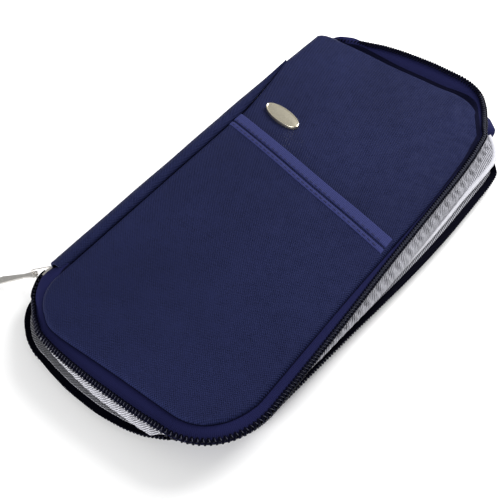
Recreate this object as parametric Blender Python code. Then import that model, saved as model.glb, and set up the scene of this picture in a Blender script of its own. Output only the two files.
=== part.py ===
"""A zip-round travel wallet for passports and tickets, lying on its back cover, unzipped and almost shut.

Plan sizes are in millimetres from the spine line (x) and from the near short edge (y), and heights from the
base (z). The function spot() moves them to metres, with the origin under the middle of the back cover.
"""

import math

import bmesh
import bpy
from mathutils import Vector

MM = 0.001
GAP = 0.3
MIDDLE_X, MIDDLE_Y = 61.0, 122.5

# The seam round each cover, and the radius of its corners: A and D at the spine, B and C at the open side.
SEAM_LEFT, SEAM_RIGHT, SEAM_NEAR, SEAM_FAR = 6.5, 113.0, 10.0, 236.0
CORNER_A, CORNER_B, CORNER_C, CORNER_D = 20.0, 22.0, 28.0, 18.0
TUCK_DEG = 22.0  # how far each end of the zip curls in towards the spine
MID_HEIGHT = 9.8  # the zip closes at this height
BACK_SEAM_Z, FRONT_SEAM_Z = 1.8, 16.8
TAPE_THICK, COIL_WIDTH, COIL_THICK = 0.6, 3.2, 1.8

SPINE_NEAR, SPINE_FAR = 41.5, 203.0
BINDING_NEAR, BINDING_FAR = 33.2, 205.8

# The slanted mouth of the outer pocket runs through this point, falling to the right.
MOUTH = Vector((7.3, 156.8))
MOUTH_ALONG = Vector((0.9586, -0.2847))
MOUTH_UP = Vector((0.2847, 0.9586))

SLIDER_REST_DEG = 172.0  # where the slider stands on the arc of corner A
ZIP_REACH = 5.5  # how far the closed coils stand out from the seam
COIL_RISE = 3.0  # each closed coil's middle, above or below the height where the zip closes
PULL_DIRECTION_DEG, PULL_DROOP_DEG = 214.0, 15.0
PULL_AXIS_RADIUS = 29.0
LINK_LENGTH, TAB_LENGTH = 10.0, 18.5

BADGE_MIDDLE = Vector((27.5, 165.5))

MATERIALS = {
    "navy_oxford": ((0.016, 0.019, 0.062), 0.75, 0.0),
    "navy_binding": ((0.028, 0.036, 0.150), 0.65, 0.0),
    "navy_tape": ((0.018, 0.018, 0.095), 0.7, 0.0),
    "coil_nylon": ((0.006, 0.006, 0.016), 0.35, 0.0),
    "grey_lining": ((0.62, 0.62, 0.66), 0.7, 0.0),
    "foam": ((0.75, 0.74, 0.70), 0.9, 0.0),
    "mesh_grey": ((0.30, 0.30, 0.34), 0.8, 0.0),
    "badge_gold": ((0.80, 0.74, 0.58), 0.3, 1.0),
    "pull_steel": ((0.55, 0.54, 0.52), 0.3, 1.0),
}


def spot(x, y, z):
    return Vector(((x - MIDDLE_X) * MM, (y - MIDDLE_Y) * MM, z * MM))


def clear_scene():
    for obj in list(bpy.data.objects):
        bpy.data.objects.remove(obj, do_unlink=True)


def material(name):
    found = bpy.data.materials.get(name)
    if found:
        return found
    colour, roughness, metallic = MATERIALS[name]
    made = bpy.data.materials.new(name)
    made.use_nodes = True
    shader = made.node_tree.nodes["Principled BSDF"]
    shader.inputs["Base Color"].default_value = (*colour, 1.0)
    shader.inputs["Roughness"].default_value = roughness
    shader.inputs["Metallic"].default_value = metallic
    return made


def finish_object(name, work, slot):
    bmesh.ops.recalc_face_normals(work, faces=work.faces)
    mesh = bpy.data.meshes.new(name)
    work.to_mesh(mesh)
    work.free()
    obj = bpy.data.objects.new(name, mesh)
    bpy.context.scene.collection.objects.link(obj)
    obj.data.materials.append(material(slot))
    return obj


def rounded(corners, segments=6):
    """A closed outline through (x, y, radius) corners, anticlockwise, each corner a tangent arc."""
    points = []
    for i, (x, y, radius) in enumerate(corners):
        here = Vector((x, y))
        back = (Vector(corners[i - 1][:2]) - here).normalized()
        ahead = (Vector(corners[(i + 1) % len(corners)][:2]) - here).normalized()
        half = back.angle(ahead) / 2
        centre = here + (back + ahead).normalized() * radius / math.sin(half)
        start = here + back * radius / math.tan(half) - centre
        end = here + ahead * radius / math.tan(half) - centre
        turn = start.angle_signed(end)
        for k in range(segments + 1):
            angle = -turn * k / segments
            c, s = math.cos(angle), math.sin(angle)
            points.append(centre + Vector((start.x * c - start.y * s, start.x * s + start.y * c)))
    return points


def cover_outline(inset=0.0):
    return rounded([
        (SEAM_LEFT + inset, SEAM_NEAR + inset, CORNER_A - inset),
        (SEAM_RIGHT - inset, SEAM_NEAR + inset, CORNER_B - inset),
        (SEAM_RIGHT - inset, SEAM_FAR - inset, CORNER_C - inset),
        (SEAM_LEFT + inset, SEAM_FAR - inset, CORNER_D - inset),
    ])


def clip(outline, point, direction):
    """The side of the outline that lies against the direction from the point."""
    kept = []
    for i, b in enumerate(outline):
        a = outline[i - 1]
        da, db = (a - point).dot(direction), (b - point).dot(direction)
        if (da > 0) != (db > 0):
            kept.append(a.lerp(b, da / (da - db)))
        if db <= 0:
            kept.append(b)
    return kept


def band(outline, point, direction, low, high):
    """The stripe of the outline between two distances along the direction from the point."""
    upper = clip(outline, point + direction * high, direction)
    return clip(upper, point + direction * low, -direction)


def plate(name, outline, low, high, slot):
    work = bmesh.new()
    face = work.faces.new([work.verts.new(spot(p.x, p.y, low)) for p in outline])
    raised = bmesh.ops.extrude_face_region(work, geom=[face])
    top = [v for v in raised["geom"] if isinstance(v, bmesh.types.BMVert)]
    bmesh.ops.translate(work, verts=top, vec=(0, 0, (high - low) * MM))
    return finish_object(name, work, slot)


def sweep(name, rings, slot, loop=False):
    """Joins rings of points into one skin, with a flat cap on each end unless it loops."""
    work = bmesh.new()
    rows = [[work.verts.new(p) for p in ring] for ring in rings]
    pairs = list(zip(rows, rows[1:]))
    if loop:
        pairs.append((rows[-1], rows[0]))
    for a, b in pairs:
        for k in range(len(a)):
            work.faces.new([a[k - 1], a[k], b[k], b[k - 1]])
    if not loop:
        work.faces.new(rows[0])
        work.faces.new(rows[-1])
    return finish_object(name, work, slot)


def seam_stations():
    """(point, outward direction, station) round the zip. Stations count 0 at the end of the zip by corner A,
    1 where the near edge starts, then 2, 3, 4, 5 and 6 at the end of each edge or corner, and 7 at corner D."""
    corners = [
        (SEAM_LEFT + CORNER_A, SEAM_NEAR + CORNER_A, CORNER_A, 180 - TUCK_DEG, 270, 16),
        (SEAM_RIGHT - CORNER_B, SEAM_NEAR + CORNER_B, CORNER_B, 270, 360, 12),
        (SEAM_RIGHT - CORNER_C, SEAM_FAR - CORNER_C, CORNER_C, 0, 90, 12),
        (SEAM_LEFT + CORNER_D, SEAM_FAR - CORNER_D, CORNER_D, 90, 180 + TUCK_DEG, 14),
    ]
    edge_steps = 7
    stations = []
    for c, (x, y, radius, first, last, steps) in enumerate(corners):
        if stations:
            a = stations[-1][0]
            outward = stations[-1][1]
            b = Vector((x, y)) + outward * radius
            for k in range(1, edge_steps):
                stations.append((a.lerp(b, k / edge_steps), outward, 2 * c - 1 + k / edge_steps))
        for k in range(steps + 1):
            angle = math.radians(first + (last - first) * k / steps)
            outward = Vector((math.cos(angle), math.sin(angle)))
            stations.append((Vector((x, y)) + outward * radius, outward, 2 * c + k / steps))
    return stations


def between(keys, station):
    """The key values at a station, eased from one key to the next."""
    if station <= keys[0][0]:
        return keys[0][1:]
    for a, b in zip(keys, keys[1:]):
        if station <= b[0]:
            t = (station - a[0]) / (b[0] - a[0])
            t = t * t * (3 - 2 * t)
            return [p + (q - p) * t for p, q in zip(a[1:], b[1:])]
    return keys[-1][1:]


# Each key: station, reach of the coil's middle beyond the seam, its height, and the tilt of its width.
FRONT_EDGE = [
    (0.0, ZIP_REACH, MID_HEIGHT + COIL_RISE, -90.0), (0.62, ZIP_REACH, MID_HEIGHT + COIL_RISE, -90.0),
    (1.1, 7.0, 16.2, -20.0), (1.5, 8.4, 16.6, -12.0), (2.0, 8.0, 16.6, -12.0), (2.5, 7.6, 16.2, -20.0),
    (3.1, 6.6, 16.2, -20.0), (3.6, 6.0, 16.6, -18.0), (4.0, 5.2, 17.0, -10.0), (4.6, 5.0, 17.0, -12.0),
    (5.1, 6.8, 17.4, -6.0), (5.5, 8.0, 17.6, -4.0), (5.9, 6.8, 16.8, -12.0),
    (6.45, ZIP_REACH, MID_HEIGHT + COIL_RISE, -90.0), (7.0, ZIP_REACH, MID_HEIGHT + COIL_RISE, -90.0),
]
BACK_EDGE = [
    (0.0, ZIP_REACH, MID_HEIGHT - COIL_RISE, 90.0), (0.62, ZIP_REACH, MID_HEIGHT - COIL_RISE, 90.0),
    (1.1, 10.4, 4.0, 12.0), (1.5, 12.8, 3.8, 8.0), (1.9, 9.4, 4.6, 15.0), (2.5, 4.6, 9.2, 75.0),
    (3.05, 4.4, 8.4, 70.0), (3.3, 7.4, 5.0, 20.0), (3.5, 11.2, 4.2, 12.0), (3.7, 13.7, 4.2, 12.0),
    (3.9, 14.0, 4.4, 18.0), (4.2, 8.0, 6.4, 35.0), (4.6, 6.0, 8.4, 50.0), (5.1, 6.6, 8.8, 45.0),
    (5.9, 6.6, 8.4, 45.0),
    (6.45, ZIP_REACH, MID_HEIGHT - COIL_RISE, 90.0), (7.0, ZIP_REACH, MID_HEIGHT - COIL_RISE, 90.0),
]


def coil_section(keys, station):
    reach, height, tilt = between(keys, station)
    along = Vector((math.cos(math.radians(tilt)), math.sin(math.radians(tilt))))
    return Vector((reach, height)), along


def box_section(centre, along, width, thick):
    across = Vector((-along.y, along.x))
    corners = ((-1, -1), (1, -1), (1, 1), (-1, 1))
    return [centre + along * (a * width / 2) + across * (b * thick / 2) for a, b in corners]


def edge_rings(section_of, first, last):
    rings = []
    for point, outward, station in seam_stations():
        if first <= station <= last:
            ring = []
            for s in section_of(station):
                ring.append(spot(point.x + outward.x * s.x, point.y + outward.y * s.x, s.y))
            rings.append(ring)
    return rings


def zip_half(side, keys, seam_z, first):
    """One cover's half of the zip: its fabric tape, and its coil of teeth just beyond the tape's edge."""

    def coil(station):
        centre, along = coil_section(keys, station)
        return box_section(centre, along, COIL_WIDTH, COIL_THICK)

    def tape(station):
        centre, along = coil_section(keys, station)
        seam = Vector((0.4, seam_z))
        end = centre - along * (COIL_WIDTH / 2 + GAP)
        run = end - seam
        return box_section((seam + end) / 2, run.normalized(), run.length, TAPE_THICK)

    sweep(side + "_zip_tape", edge_rings(tape, first, 7.0), "navy_tape")
    sweep(side + "_zip_coil", edge_rings(coil, first, 7.0), "coil_nylon")


def arc_rings(section, first_deg, last_deg, steps):
    """Rings of a section (radius, height) swept round the centre of corner A."""
    rings = []
    for k in range(steps + 1):
        angle = math.radians(first_deg + (last_deg - first_deg) * k / steps)
        ring = []
        for radius, height in section:
            x = SEAM_LEFT + CORNER_A + radius * math.cos(angle)
            y = SEAM_NEAR + CORNER_A + radius * math.sin(angle)
            ring.append(spot(x, y, height))
        rings.append(ring)
    return rings


def helper(obj):
    obj.hide_render = True
    obj.display_type = "WIRE"
    return obj


def combine(obj, other, operation):
    step = obj.modifiers.new(operation.lower(), "BOOLEAN")
    step.operation = operation
    step.object = helper(other)


def rectangle(r0, r1, z0, z1):
    return [(r0, z0), (r1, z0), (r1, z1), (r0, z1)]


def binding_bar(near, far):
    """The plan of a rolled binding along the spine side of a cover."""
    left, right, radius = 0.8, 6.2, 1.5
    plan = ((left, near), (right, near), (right, far), (left, far))
    return rounded([(x, y, radius) for x, y in plan], 3)


def make_back_cover():
    plate("back_panel", cover_outline(), 0.0, 0.9, "navy_oxford")
    plate("back_foam", cover_outline(1.4), 1.2, 2.7, "foam")
    plate("back_lining", cover_outline(1.0), 3.0, 3.4, "grey_lining")
    base, up = Vector((0, 0)), Vector((0, 1))
    inner = cover_outline(4.0)
    plate("boarding_pass_pocket", band(inner, base, up, 0, 190), 3.7, 4.1, "grey_lining")
    plate("boarding_pocket_binding", band(inner, base, up, 190 + GAP, 194), 3.7, 4.3, "navy_binding")
    small = cover_outline(8.0)
    plate("passport_pocket", band(small, base, up, 0, 138), 4.4, 4.8, "grey_lining")
    plate("passport_pocket_binding", band(small, base, up, 138 + GAP, 142), 4.4, 5.0, "navy_binding")
    plate("back_spine_binding", binding_bar(SPINE_NEAR, SPINE_FAR), 0.3, 3.2, "navy_oxford")
    make_pen_sleeve()


def make_pen_sleeve():
    """A flat elastic tube, open at both ends, sewn on the boarding pass pocket."""
    x, low, wide, tall, wall = 103.0, 4.4, 14.0, 1.9, 0.4
    outer = [(-wide / 2, 0), (wide / 2, 0), (wide / 2, tall), (-wide / 2, tall)]
    inner = [(a - math.copysign(wall, a), b + (wall if b == 0 else -wall)) for a, b in outer]
    near, far = 147.0, 186.0
    rings = []
    for profile, y in ((outer, near), (outer, far), (inner, far), (inner, near)):
        rings.append([spot(x + a, y, low + b) for a, b in profile])
    sweep("pen_sleeve", rings, "mesh_grey", loop=True)


def make_spine():
    for name, left, right, low, high, slot in (
        ("spine_panel", -0.9, -0.2, 2.4, 17.2, "navy_oxford"),
        ("spine_lining", 0.1, 0.5, 3.6, 15.1, "grey_lining"),
    ):
        ring = [(left, low), (right, low), (right, high), (left, high)]
        rings = [[spot(x, y, z) for x, z in ring] for y in (SPINE_NEAR, SPINE_FAR)]
        sweep(name, rings, slot)


def make_front_cover():
    plate("front_panel", cover_outline(), 17.2, 18.3, "navy_oxford")
    foam = plate("front_foam", cover_outline(1.4), 15.1, 16.9, "foam")
    plate("front_lining", cover_outline(1.0), 14.4, 14.8, "grey_lining")
    plate("front_spine_binding", binding_bar(BINDING_NEAR, BINDING_FAR), 15.4, 18.3, "navy_oxford")
    field = cover_outline(0.8)
    plate("front_pocket", band(field, MOUTH, MOUTH_UP, -200, -6.0), 18.6, 19.3, "navy_oxford")
    plate("front_pocket_binding", band(field, MOUTH, MOUTH_UP, -6.0 + GAP, 0), 18.6, 19.5, "navy_binding")
    plate("front_pocket_hem", band(field, MOUTH, MOUTH_UP, -9.2, -6.4), 19.6, 20.2, "navy_binding")
    make_badge(foam)
    make_mesh_pocket()


def make_badge(foam):
    """A plain oval metal badge over the pocket mouth, and the back plate that its prongs fold over."""
    sides = 24

    def oval(length, width):
        points = []
        for k in range(sides):
            angle = 2 * math.pi * k / sides
            along = MOUTH_ALONG * (length / 2 * math.cos(angle))
            across = MOUTH_UP * (width / 2 * math.sin(angle))
            points.append(BADGE_MIDDLE + along + across)
        return points

    plate("badge", oval(24.0, 9.0), 18.6, 19.9, "badge_gold")
    plate("badge_back_plate", oval(16.0, 6.0), 16.5, 16.9, "pull_steel")
    combine(foam, plate("badge_recess", oval(17.0, 7.0), 16.2, 17.5, "foam"), "DIFFERENCE")


def make_mesh_pocket():
    """The zipped mesh pocket inside the front cover, with its own zip along its mouth."""
    base, up = Vector((0, 0)), Vector((0, 1))
    inner = cover_outline(6.0)
    plate("mesh_pocket", band(inner, base, up, 0, 150), 13.7, 14.1, "mesh_grey")
    plate("pocket_zip_tape", band(inner, base, up, 150 + GAP, 160), 13.7, 14.1, "navy_tape")
    coil = [Vector(corner) for corner in rectangle(16, 104, 153.6, 156.8)]
    plate("pocket_zip_coil", coil, 12.6, 13.4, "coil_nylon")
    shape = rounded([(16.5, 151.0, 2), (29.5, 152.6, 1.2), (29.5, 157.8, 1.2), (16.5, 159.4, 2)], 4)
    plate("pocket_zip_slider", shape, 10.9, 12.3, "pull_steel")


def make_leaf():
    """The page between the covers: a stiffened panel with five card slots and a pocket on its back."""
    outline = rounded([
        (19, 13, 16), (116, 13, 24), (116, 232, 24), (19, 232, 16),
        (19, 202, 2), (4.2, 198, 2), (4.2, 48, 2), (19, 44, 2),
    ], 5)
    plate("leaf_panel", outline, 7.9, 8.7, "grey_lining")
    edge = rounded([(2.4, 50, 0.5), (3.9, 50, 0.5), (3.9, 196, 0.5), (2.4, 196, 0.5)], 2)
    plate("leaf_spine_binding", edge, 7.3, 9.3, "navy_binding")
    pocket = rounded([(18, 16, 18), (112, 16, 18), (112, 170, 3), (18, 170, 3)], 4)
    plate("leaf_pocket", pocket, 7.0, 7.6, "grey_lining")
    first, pitch, height = 40.0, 27.0, 24.5
    for k in range(5):
        low = first + pitch * k
        slot = rounded([(20, low, 2), (110, low, 2), (110, low + height, 2), (20, low + height, 2)], 3)
        plate(f"card_slot_{k + 1}", slot, 9.0, 9.5, "grey_lining")


def make_zip():
    zip_half("back", BACK_EDGE, BACK_SEAM_Z, 0.05)
    zip_half("front", FRONT_EDGE, FRONT_SEAM_Z, 0.33)
    middle = CORNER_A + ZIP_REACH
    clasp = rectangle(middle - 1.3, middle + 1.3, MID_HEIGHT - 4.4, MID_HEIGHT + 4.4)
    sweep("zip_bottom_stop", arc_rings(clasp, 156.0, 158.0, 1), "pull_steel")
    make_top_stop("back_top_stop", MID_HEIGHT - COIL_RISE)
    make_top_stop("front_top_stop", MID_HEIGHT + COIL_RISE)


def make_top_stop(name, height):
    """A small metal clip over the last tooth, beyond the end of the coil at corner D."""
    point, outward, _ = seam_stations()[-1]
    along = Vector((-outward.y, outward.x))
    rings = []
    for step in (GAP, 1.8):
        ring = []
        for reach, z in rectangle(ZIP_REACH - 1.1, ZIP_REACH + 1.1, height - 1.7, height + 1.7):
            p = point + outward * reach + along * step
            ring.append(spot(p.x, p.y, z))
        rings.append(ring)
    sweep(name, rings, "pull_steel")


def make_slider():
    """Two curved plates held apart by a web that runs between the coils, with a bridge for the link outside."""
    inner_face, outer_face = CORNER_A + 3.2, CORNER_A + 7.8
    wall, half_web, half_height = 1.0, 0.75, 4.6
    z = MID_HEIGHT
    section = [
        (inner_face, z - half_height), (inner_face + wall, z - half_height),
        (inner_face + wall, z - half_web), (outer_face - wall, z - half_web),
        (outer_face - wall, z - half_height), (outer_face, z - half_height),
        (outer_face, z + half_height), (outer_face - wall, z + half_height),
        (outer_face - wall, z + half_web), (inner_face + wall, z + half_web),
        (inner_face + wall, z + half_height), (inner_face, z + half_height),
    ]

    def round_rest(name, outline, half_span, steps):
        rings = arc_rings(outline, SLIDER_REST_DEG - half_span, SLIDER_REST_DEG + half_span, steps)
        return sweep(name, rings, "pull_steel")

    slider = round_rest("zip_slider", section, 13.0, 8)
    block = rectangle(outer_face - 0.5, outer_face + 3.1, z - 1.2, z + 1.2)
    combine(slider, round_rest("slider_bridge", block, 8.0, 4), "UNION")
    hollow = rectangle(outer_face, outer_face + 2.2, z - 2.0, z + 2.0)
    combine(slider, round_rest("bridge_hole", hollow, 4.0, 2), "DIFFERENCE")


def pull_frame():
    """Origin on the link's axis, the drooping direction of the pull, its sideways and its upward directions."""
    rest = math.radians(SLIDER_REST_DEG)
    x = SEAM_LEFT + CORNER_A + PULL_AXIS_RADIUS * math.cos(rest)
    y = SEAM_NEAR + CORNER_A + PULL_AXIS_RADIUS * math.sin(rest)
    heading, droop = math.radians(PULL_DIRECTION_DEG), math.radians(PULL_DROOP_DEG)
    flat = Vector((math.cos(heading), math.sin(heading), 0))
    ahead = flat * math.cos(droop) - Vector((0, 0, math.sin(droop)))
    up = flat * math.sin(droop) + Vector((0, 0, math.cos(droop)))
    return spot(x, y, MID_HEIGHT), ahead, up.cross(ahead), up


def make_pull():
    origin, ahead, side, up = pull_frame()
    wire, half_height, bend, wire_sides = 0.5, 2.6, 1.0, 8
    plan = rectangle(0, LINK_LENGTH, -half_height, half_height)
    corners = rounded([(a, b, bend) for a, b in plan], 4)
    rings = []
    for i, p in enumerate(corners):
        run = (corners[(i + 1) % len(corners)] - corners[i - 1]).normalized()
        outward = ahead * run.y - up * run.x
        middle = origin + (ahead * p.x + up * p.y) * MM
        ring = []
        for k in range(wire_sides):
            angle = 2 * math.pi * k / wire_sides
            ring.append(middle + (outward * math.cos(angle) + side * math.sin(angle)) * wire * MM)
        rings.append(ring)
    sweep("pull_link", rings, "pull_steel", loop=True)

    # Half of the tab's outline, from its rounded eye along one side to its flared tip.
    flare = [
        (-1.9, 0.0), (-1.3, -1.3), (0.0, -1.8), (2.2, -1.2), (5.0, -0.9),
        (TAB_LENGTH - 2.0, -1.9), (TAB_LENGTH - 0.4, -1.7),
    ]
    outline = flare + [(a, -b) for a, b in reversed(flare) if b]
    tab = pull_plate("pull_tab", outline, 0.45)
    eye_radius, eye_sides = 0.95, 16
    hole = []
    for k in range(eye_sides):
        angle = 2 * math.pi * k / eye_sides
        hole.append((eye_radius * math.cos(angle), eye_radius * math.sin(angle)))
    combine(tab, pull_plate("tab_eye", hole, 2.0), "DIFFERENCE")


def pull_plate(name, outline, half_thick):
    """A plate in the pull's own plane. Its outline's lengths count from the middle of the tab's eye."""
    origin, ahead, side, up = pull_frame()
    rings = []
    for level in (-half_thick, half_thick):
        ring = []
        for a, b in outline:
            ring.append(origin + (ahead * (LINK_LENGTH + a) + side * b + up * level) * MM)
        rings.append(ring)
    return sweep(name, rings, "pull_steel")


def main():
    clear_scene()
    make_back_cover()
    make_spine()
    make_leaf()
    make_front_cover()
    make_zip()
    make_slider()
    make_pull()


main()
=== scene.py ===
"""The looks of a zip-round travel wallet: soft navy covers, an open coil zip, a light lining and a page.

Plan sizes are in millimetres from the spine line (x) and from the near short edge (y), and heights from the
table (z), as in the part's own source. place() moves them to the frame's metres.
"""

import math

import bpy
import numpy as np
from mathutils import Matrix, Vector


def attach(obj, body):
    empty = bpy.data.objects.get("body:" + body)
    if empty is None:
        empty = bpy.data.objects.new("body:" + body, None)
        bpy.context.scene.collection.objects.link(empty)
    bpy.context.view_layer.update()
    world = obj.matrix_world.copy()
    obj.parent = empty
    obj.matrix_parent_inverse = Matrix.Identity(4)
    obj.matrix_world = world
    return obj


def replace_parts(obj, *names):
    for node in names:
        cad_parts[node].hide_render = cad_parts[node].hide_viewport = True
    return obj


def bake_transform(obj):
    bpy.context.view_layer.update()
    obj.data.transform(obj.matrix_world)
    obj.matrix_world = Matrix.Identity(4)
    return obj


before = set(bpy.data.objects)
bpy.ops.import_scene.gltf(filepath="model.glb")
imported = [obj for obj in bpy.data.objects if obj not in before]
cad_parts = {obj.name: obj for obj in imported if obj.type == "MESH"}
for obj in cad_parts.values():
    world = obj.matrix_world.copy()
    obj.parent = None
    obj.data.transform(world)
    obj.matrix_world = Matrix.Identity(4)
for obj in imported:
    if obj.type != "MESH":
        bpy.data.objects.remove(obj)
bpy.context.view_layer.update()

MM = 0.001
MIDDLE = np.array([61.0, 122.5, 0.0])

# The covers' seam and its corner radii: A and D at the spine, B and C at the open side.
LEFT, RIGHT, NEAR, FAR = 6.5, 113.0, 10.0, 236.0
RADIUS_A, RADIUS_B, RADIUS_C, RADIUS_D = 20.0, 22.0, 28.0, 18.0
TUCK_DEG = 22.0
SPINE_RUN = 8.0  # how far the seam is followed along the spine side beyond corners A and D

MOUTH_X, MOUTH_Y, MOUTH_FALL = 7.3, 156.8, -0.297  # the pocket's slanted mouth
ACROSS_MOUTH = 1.043  # how far y moves for one millimetre square to the mouth
MOUTH_END = 114.2  # where the mouth's bands run into the open side's seam
TOOTH_PITCH = 1.5

# Heights that more than one piece uses.
COVER_TOP = 17.9  # the front cover at the foot of its crown
LINING_TOP = 15.0  # the upper side of the front lining
LINING_LOW = 3.35  # where the back lining's rim starts
SHELL_LOW = 15.1  # the front cover's own underside


def place(points):
    return (np.asarray(points, float) - MIDDLE) * MM


def smoothstep(value, low, high):
    t = np.clip((np.asarray(value, float) - low) / (high - low), 0, 1)
    return t * t * (3 - 2 * t)


# ---------------------------------------------------------------- materials

class Paint:
    """One procedural material. Its cloth coordinates are the mesh's own, in metres along and across."""

    def __init__(self, name, colour, roughness, **constants):
        self.material = bpy.data.materials.new(name)
        self.material.use_nodes = True
        self.tree = self.material.node_tree
        self.shader = self.tree.nodes["Principled BSDF"]
        self.shader.inputs["Base Color"].default_value = (*colour, 1)
        self.shader.inputs["Roughness"].default_value = roughness
        for socket, value in constants.items():
            self.shader.inputs[socket.replace("_", " ")].default_value = value
        self.material.diffuse_color = (*colour, 1)

    def node(self, kind, inputs=(), output=0, **settings):
        node = self.tree.nodes.new(kind)
        for key, value in settings.items():
            setattr(node, key, value)
        for index, value in dict(inputs).items():
            if isinstance(value, bpy.types.NodeSocket):
                self.tree.links.new(value, node.inputs[index])
            else:
                node.inputs[index].default_value = value
        return node.outputs[output]

    def math(self, operation, a, b=0.0):
        return self.node("ShaderNodeMath", {0: a, 1: b}, operation=operation)

    def cloth(self):
        """The two cloth coordinates."""
        first = self.node("ShaderNodeSeparateXYZ", {0: self.node("ShaderNodeUVMap", uv_map="cloth")})
        return first, first.node.outputs[1]

    def wave(self, value, pitch):
        return self.math("SINE", self.math("MULTIPLY", value, 2 * math.pi / pitch))

    def noise(self, scale, detail):
        coordinate = self.node("ShaderNodeTexCoord", output=3)
        return self.node("ShaderNodeTexNoise", {"Vector": coordinate, "Scale": scale, "Detail": detail})

    def tint(self, height, dark, light, low, high):
        """The base colour from dark to light as height goes from low to high."""
        factor = self.node("ShaderNodeMapRange", {0: height, 1: low, 2: high})
        colours = {0: factor, 6: (*dark, 1), 7: (*light, 1)}
        mixed = self.node("ShaderNodeMix", colours, output=2, data_type="RGBA")
        self.tree.links.new(mixed, self.shader.inputs["Base Color"])

    def bump(self, height, distance, strength=1.0):
        relief = self.node("ShaderNodeBump", {"Height": height, "Distance": distance, "Strength": strength})
        self.tree.links.new(relief, self.shader.inputs["Normal"])


def shade(colour, factor):
    return tuple(c * factor for c in colour)


FUZZ_SCALE, CLOUD_SCALE, SLUB_SCALE = 2600, 28, 240  # noise for single fibres, broad patches, uneven threads
BLUE_GLOSS = (0.45, 0.52, 1.0)


def woven(name, colour, pitch, depth, roughness, contrast, sheen, specular, weave="plain",
          gloss_tint=(1.0, 1.0, 1.0)):
    """A cloth with its threads as relief and as light and dark: plain, twill, or ribs along one direction."""
    paint = Paint(name, colour, roughness, Sheen_Weight=sheen, Sheen_Roughness=0.4,
                  Specular_IOR_Level=specular)
    paint.shader.inputs["Specular Tint"].default_value = (*gloss_tint, 1)
    u, v = paint.cloth()
    if weave == "plain":
        crossing = paint.math("MULTIPLY", paint.wave(u, pitch), paint.wave(v, pitch))
        height = paint.math("MULTIPLY", crossing, paint.math("MULTIPLY", paint.noise(SLUB_SCALE, 3), 1.9))
    elif weave == "twill":
        slant = paint.wave(paint.math("ADD", u, v), pitch)
        thread = paint.wave(paint.math("SUBTRACT", u, v), pitch * 0.5)
        height = paint.math("ADD", slant, paint.math("MULTIPLY", thread, 0.4))
    else:
        rib = paint.wave(u, pitch)
        height = paint.math("ADD", rib, paint.math("MULTIPLY", paint.wave(v, pitch * 1.3), 0.25))
    fuzz = paint.noise(FUZZ_SCALE, 3)
    cloudy = paint.noise(CLOUD_SCALE, 2)
    level = paint.math("ADD", paint.math("MULTIPLY", height, 0.5), paint.math("MULTIPLY", fuzz, 0.8))
    level = paint.math("ADD", level, paint.math("MULTIPLY", cloudy, 0.5))
    paint.tint(level, shade(colour, 1 - contrast), shade(colour, 1 + contrast), 0.0, 1.3)
    paint.bump(paint.math("ADD", height, fuzz), depth)
    return paint.material


def metal(name, colour, roughness):
    paint = Paint(name, colour, roughness, Metallic=1.0)
    grain = paint.noise(900, 4)
    paint.tint(grain, shade(colour, 0.9), shade(colour, 1.06), 0.3, 0.7)
    paint.bump(grain, 0.00002, 0.4)
    return paint.material


def nylon(name, colour, roughness):
    paint = Paint(name, colour, roughness, Specular_IOR_Level=0.07)
    paint.shader.inputs["Specular Tint"].default_value = (0.62, 0.68, 1, 1)
    paint.bump(paint.noise(1500, 2), 0.00002, 0.5)
    return paint.material


OXFORD = woven("navy_oxford_cloth", (0.0104, 0.0130, 0.0440), 0.0011, 0.00016, 0.5, 0.6, 0.0, 0.05,
               gloss_tint=BLUE_GLOSS)
BINDING = woven("navy_grosgrain", (0.0290, 0.0340, 0.115), 0.0008, 0.00010, 0.7, 0.2, 0.0, 0.05, "ribs")
TAPE = woven("navy_zip_tape", (0.0095, 0.0105, 0.045), 0.0006, 0.00004, 0.75, 0.14, 0.0, 0.03, "ribs")
# Near-black tape behind the coils, also used as painted shade in the groove beside the spine band.
DARK_TAPE_AND_PAINTED_SHADE = woven("zip_tape_inside_and_painted_shade", (0.0016, 0.0016, 0.005), 0.0009, 0.00006, 0.8, 0.25, 0.0, 0.02, "ribs")
# Painted shade: a near-black colour for the band in the groove along the cover's edge, standing in for the
# shadow there.
GROOVE_PAINTED_SHADE = woven("groove_painted_shade", (0.0030, 0.0033, 0.0125), 0.0009, 0.00006, 0.8, 0.25, 0.0, 0.02, "ribs")
TWILL = woven("grey_twill_lining", (0.37, 0.37, 0.41), 0.0012, 0.00025, 0.8, 0.72, 0.05, 0.2, "twill")
SATIN = woven("white_satin_edge", (0.44, 0.44, 0.48), 0.0007, 0.00003, 0.55, 0.05, 0.05, 0.3, "ribs")
MESH = woven("grey_mesh", (0.20, 0.20, 0.22), 0.0016, 0.0003, 0.75, 0.75, 0.1, 0.3)
THREAD = woven("navy_thread", (0.011, 0.013, 0.05), 0.0006, 0.00005, 0.6, 0.2, 0.03, 0.2, "ribs")
# The thread over the coils: real thread, but coloured lighter than its real dark navy as painted glints
# between the teeth.
COIL_THREAD_PAINTED_GLINT = woven("coil_thread_painted_glint", (0.052, 0.054, 0.080), 0.0008, 0.00010, 0.6, 0.3, 0.0, 0.2, "ribs")
COIL = nylon("black_nylon_coil", (0.0014, 0.0014, 0.0050), 0.3)
GOLD = metal("pale_gold", (0.68, 0.63, 0.50), 0.3)
NICKEL = metal("satin_nickel", (0.62, 0.60, 0.57), 0.3)


# ---------------------------------------------------------------- meshes

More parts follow.
